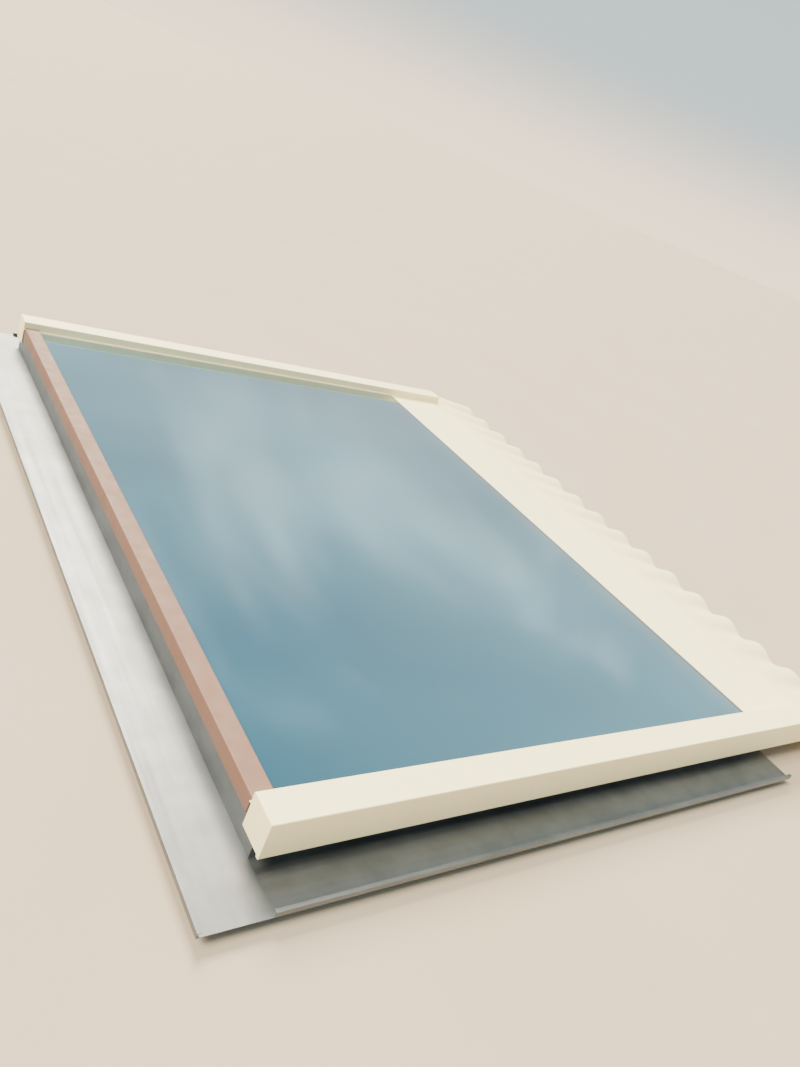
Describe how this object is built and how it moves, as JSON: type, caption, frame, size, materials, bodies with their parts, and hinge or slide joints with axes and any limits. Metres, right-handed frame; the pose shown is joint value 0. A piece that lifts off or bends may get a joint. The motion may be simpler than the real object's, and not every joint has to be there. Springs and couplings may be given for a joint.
{
  "type": "roof skylight",
  "caption": "Fixed roof skylight: one uninterrupted double-glazed pane on an insulated kerb frame, raised cream side cappings, a wide dressed sill apron and flashings that go under tiles.",
  "frame": {"origin": "centre of the bounding box at the kerb's flat base, which sits on the roof's trimmers", "axes": "+Z out of the roof, square to the glass; +Y up the slope to the head; +X across the slope"},
  "size_m": [3.115, 2.909, 0.1758],
  "materials": {
    "cream_coat": "satin powder coat",
    "terracotta_coat": "matt coil coat",
    "frame_aluminium": "satin powder coat",
    "mill_aluminium": "mill finish",
    "spacer_aluminium": "rolled",
    "cast_aluminium": "die cast",
    "outer_glass": "solar-control float",
    "inner_glass": "float",
    "interlayer": "clear film",
    "black_sealant": "gunned and tooled",
    "grey_silicone": "tooled bead",
    "foam": "closed-cell foam",
    "black_rubber": "extruded",
    "grey_rubber": "extruded",
    "block_plastic": "moulded",
    "black_polyamide": "extruded",
    "stainless_steel": "bright"
  },
  "bodies": {
    "root": {"back_gutter": "mill_aluminium", "backing_rod": "foam", "cap_clips": "stainless_steel", "cap_end_plates": "cream_coat", "cap_lip_gaskets": "grey_rubber", "corner_cleats": "cast_aluminium", "edge_seal": "black_sealant", "head_cover": "terracotta_coat", "head_lip_gasket": "black_rubber", "inner_ply_lower": "inner_glass", "inner_ply_upper": "inner_glass", "interlayer": "interlayer", "kerb_inner_head": "frame_aluminium", "kerb_inner_left": "frame_aluminium", "kerb_inner_right": "frame_aluminium", "kerb_inner_sill": "frame_aluminium", "kerb_outer_head": "frame_aluminium", "kerb_outer_left": "frame_aluminium", "kerb_outer_right": "frame_aluminium", "kerb_outer_sill": "frame_aluminium", "outer_pane": "outer_glass", "plate_gaskets": "black_rubber", "plate_screws": "stainless_steel", "pressure_plate_head": "frame_aluminium", "pressure_plate_left": "frame_aluminium", "pressure_plate_right": "frame_aluminium", "seat_gasket": "black_rubber", "setting_blocks": "block_plastic", "side_cap_left": "cream_coat", "side_cap_right": "cream_coat", "side_tray_left": "mill_aluminium", "side_tray_right": "mill_aluminium", "sill_apron": "cream_coat", "sill_seal": "grey_silicone", "spacer_bar": "spacer_aluminium", "spacer_keys": "black_polyamide", "thermal_strips": "black_polyamide"}
  },
  "joints": []
}
